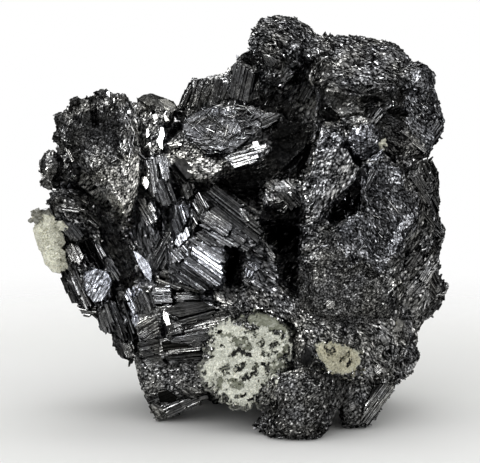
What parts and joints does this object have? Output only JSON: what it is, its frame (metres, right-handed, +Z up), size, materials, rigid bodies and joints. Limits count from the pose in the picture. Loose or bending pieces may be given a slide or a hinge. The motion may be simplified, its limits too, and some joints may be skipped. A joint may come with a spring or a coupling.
{
  "type": "enargite crystal specimen",
  "caption": "Free-standing mass of intergrown black striated crystals, open in front round a deep cavity, with pale quartz crusts seated on it.",
  "frame": {"origin": "centre of the bounding box, at the level of the surface that the specimen stands on", "axes": "+Z up, -Y towards the viewer of the display side, +X to that viewer's right"},
  "size_m": [0.0532, 0.0406, 0.0487],
  "materials": {
    "enargite": "dark grey-black metallic lustre, striated and sparkling",
    "white_quartz": "pitted sugary white, stands in for quartz",
    "cream_quartz": "sugary cream, stands in for quartz",
    "stained_quartz": "dull beige with rusty stains, stands in for quartz"
  },
  "bodies": {
    "root": {"enargite_mass": "enargite", "quartz_front": "white_quartz", "quartz_left": "cream_quartz", "quartz_stained": "stained_quartz"}
  },
  "joints": []
}
